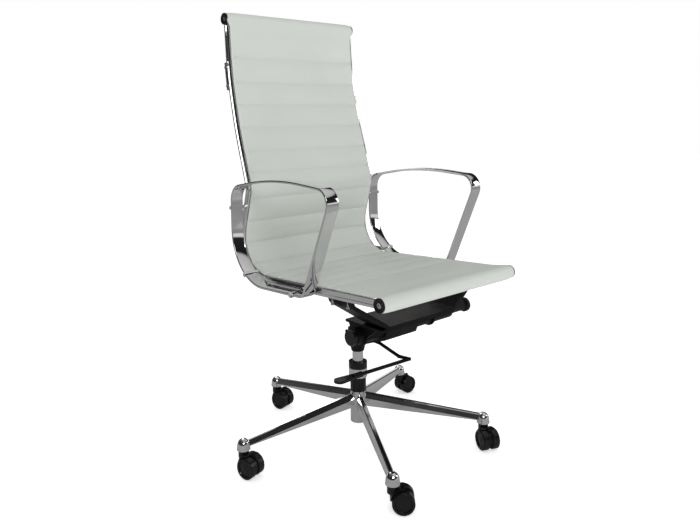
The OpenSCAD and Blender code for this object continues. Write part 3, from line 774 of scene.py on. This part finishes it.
class ChairStage(bpy.types.Operator):
    """Set the floor, the soft lights, the surroundings and the camera"""

    bl_idname = "chair.stage"
    bl_label = "Stage"

    def execute(self, context):
        scene = context.scene
        data = bpy.data.cameras.new("camera")
        camera = bpy.data.objects.new("camera", data)
        scene.collection.objects.link(camera)
        scene.camera = camera
        data.sensor_width = 36.0
        data.lens = 33.36
        data.shift_x = 0.0170
        data.shift_y = -0.1550
        data.clip_end = 100
        turn = (Matrix.Rotation(CAMERA_HEADING, 4, "Z")
                @ Matrix.Rotation(math.pi / 2 - CAMERA_DIP, 4, "X")
                @ Matrix.Rotation(CAMERA_ROLL, 4, "Z"))
        camera.matrix_world = Matrix.Translation(CAMERA_PLACE) @ turn

        bm = bmesh.new()
        bmesh.ops.create_circle(bm, cap_ends=True, radius=14.0, segments=64)
        floor = finish_mesh(bm, "floor", None)
        material, tree, shader = new_material("pale_floor_painted_dark_in_reflections")
        # the floor glows evenly pale to the camera and as light; where polished metal reflects it,
        # it is painted a darker grey without glow, as painted dark reflections
        path = tree.nodes.new("ShaderNodeLightPath")
        glossy = path.outputs["Is Glossy Ray"]
        link(tree, mix_colour(tree, glossy, (0.9, 0.9, 0.9, 1), (0.45, 0.45, 0.45, 1)),
             shader.inputs["Base Color"])
        link(tree, mix_colour(tree, glossy, (0.5, 0.5, 0.5, 1), (0.0, 0.0, 0.0, 1)),
             shader.inputs["Emission Color"])
        shader.inputs["Emission Strength"].default_value = 1.0
        shader.inputs["Roughness"].default_value = 0.8
        shader.inputs["Specular IOR Level"].default_value = 0.1
        floor.data.materials.append(material)
        # a hair under the wheels, so that they don't cut it
        floor.location.z = -0.0005

        self.surround(scene)
        lights = (
            ("key_light", (-1.7, -2.6, 2.6), (0.0, 0.0, 0.7), 1.4, 34.0),
            ("fill_light", (2.8, -1.8, 1.6), (0.0, 0.0, 0.6), 1.0, 12.0),
            ("back_light", (0.9, 2.8, 2.6), (0.0, 0.1, 0.6), 1.4, 16.0),
        )
        for name, place, target, size, power in lights:
            lamp = bpy.data.lights.new(name, "AREA")
            lamp.size = size
            lamp.energy = power
            obj = bpy.data.objects.new(name, lamp)
            obj.location = place
            aim = Vector(target) - Vector(place)
            obj.rotation_euler = aim.to_track_quat("-Z", "Y").to_euler()
            scene.collection.objects.link(obj)
        scene.view_settings.view_transform = "Standard"
        return {"FINISHED"}

    def surround(self, scene):
        """White to the camera, soft grey as light, with a dark belt for polished metal."""
        world = bpy.data.worlds.new("studio")
        scene.world = world
        world.use_nodes = True
        tree = world.node_tree
        coords = tree.nodes.new("ShaderNodeTexCoord")
        parts = tree.nodes.new("ShaderNodeSeparateXYZ")
        link(tree, coords.outputs["Generated"], parts.inputs["Vector"])
        ramp = tree.nodes.new("ShaderNodeValToRGB")
        stops = ((0.0, 0.3), (0.02, 0.75), (0.10, 0.8), (0.16, 0.02), (0.60, 0.012),
                 (0.68, 0.5), (1.0, 0.7))
        elements = ramp.color_ramp.elements
        while len(elements) < len(stops):
            elements.new(0.5)
        for element, (place, value) in zip(elements, stops):
            element.position = place
            element.color = (value, value, value, 1)
        link(tree, parts.outputs["Z"], ramp.inputs["Fac"])
        # a black flag on the sitter's right darkens the sides of the rails
        flag = tree.nodes.new("ShaderNodeMapRange")
        for label, value in (("From Min", -0.35), ("From Max", 0.15), ("To Min", 0.08)):
            flag.inputs[label].default_value = value
        link(tree, parts.outputs["X"], flag.inputs["Value"])
        belt = mix_colour(tree, flag.outputs["Result"], (0.03, 0.03, 0.03, 1),
                          ramp.outputs["Color"])
        path = tree.nodes.new("ShaderNodeLightPath")
        soft = mix_colour(tree, path.outputs["Is Camera Ray"], (0.62, 0.62, 0.62, 1),
                          (1.0, 1.0, 1.0, 1))
        glossy = mix_colour(tree, path.outputs["Is Glossy Ray"], soft, belt)
        background = tree.nodes["Background"]
        link(tree, glossy, background.inputs["Color"])
        background.inputs["Strength"].default_value = 1.0


# ---- panel and registration ----

class ChairPanel(bpy.types.Panel):
    """Lists the steps that build the chair's looks"""

    bl_idname = "VIEW3D_PT_chair"
    bl_label = "Swivel chair"
    bl_space_type = "VIEW_3D"
    bl_region_type = "UI"
    bl_category = "Chair"

    def draw(self, context):
        for group in (context.scene.chair_cover, context.scene.chair_trim):
            for name in group.bl_rna.properties.keys():
                if name not in ("rna_type", "name"):
                    self.layout.prop(group, name)
        for step in STEPS:
            self.layout.operator(step.bl_idname)


STEPS = (ChairStage, ChairFinishes, ChairCover, ChairSeams, ChairArmrests, ChairRollCaps,
         ChairKnob)
CLASSES = (ChairCoverProperties, ChairTrimProperties, *STEPS, ChairPanel)


def register():
    for cls in CLASSES:
        bpy.utils.register_class(cls)
    bpy.types.Scene.chair_cover = bpy.props.PointerProperty(type=ChairCoverProperties)
    bpy.types.Scene.chair_trim = bpy.props.PointerProperty(type=ChairTrimProperties)


def unregister():
    del bpy.types.Scene.chair_trim
    del bpy.types.Scene.chair_cover
    for cls in reversed(CLASSES):
        bpy.utils.unregister_class(cls)


def main():
    register()
    for step in STEPS:
        area, name = step.bl_idname.split(".")
        getattr(getattr(bpy.ops, area), name)()


if __name__ == "__main__":
    main()
